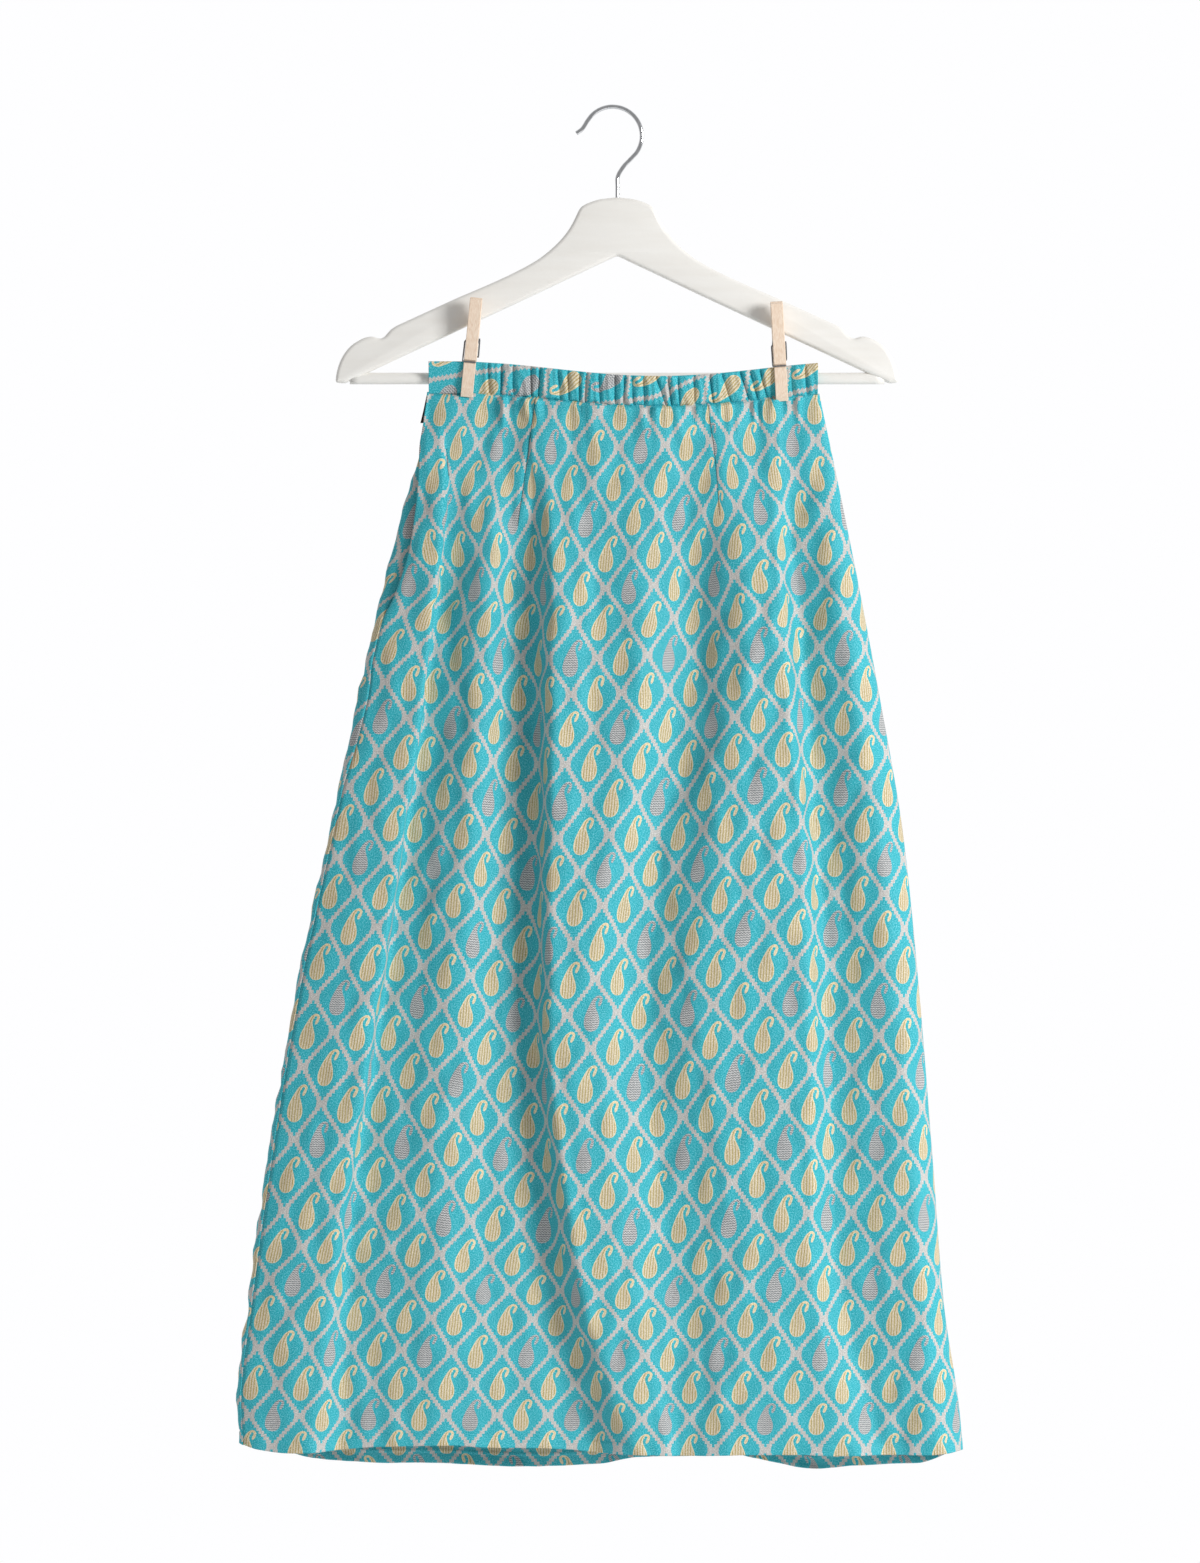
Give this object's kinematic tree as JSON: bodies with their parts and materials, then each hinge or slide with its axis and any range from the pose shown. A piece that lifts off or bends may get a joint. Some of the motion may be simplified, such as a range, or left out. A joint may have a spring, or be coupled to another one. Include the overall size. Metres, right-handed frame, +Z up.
{
  "type": "a-line skirt on a wooden coat hanger",
  "caption": "Patterned A-line skirt with an elastic waistband, darts and a side opening, pinned by its band to a white wooden coat hanger; hangs by the hanger's hook.",
  "frame": {"origin": "inner top of the hanger's hook, where the hook bears on a rail", "axes": "+Z up; the skirt's front faces -Y; +X to the right of someone looking at the front"},
  "size_m": [0.5571, 0.088, 1.0576],
  "materials": {
    "printed_cloth": "matt woven crepe, teal with a grey trellis and cream and grey paisleys",
    "band_cloth": "the same cloth cut on the bias and gathered over elastic",
    "black_tape": "matt black satin tape, bare",
    "white_paint": "white satin paint over wood",
    "chromed_wire": "bright chrome",
    "spring_wire": "plain drawn wire",
    "beech": "bare sanded beech"
  },
  "bodies": {
    "root": {"skirt_front": "printed_cloth", "skirt_back": "printed_cloth", "waistband_front": "band_cloth", "waistband_back": "band_cloth", "label_tab": "black_tape", "hanger_body": "white_paint", "hanger_bar": "white_paint", "hanger_hook": "chromed_wire", "pin_left_front": "beech", "pin_left_back": "beech", "pin_left_spring": "spring_wire", "pin_right_front": "beech", "pin_right_back": "beech", "pin_right_spring": "spring_wire"}
  },
  "joints": []
}
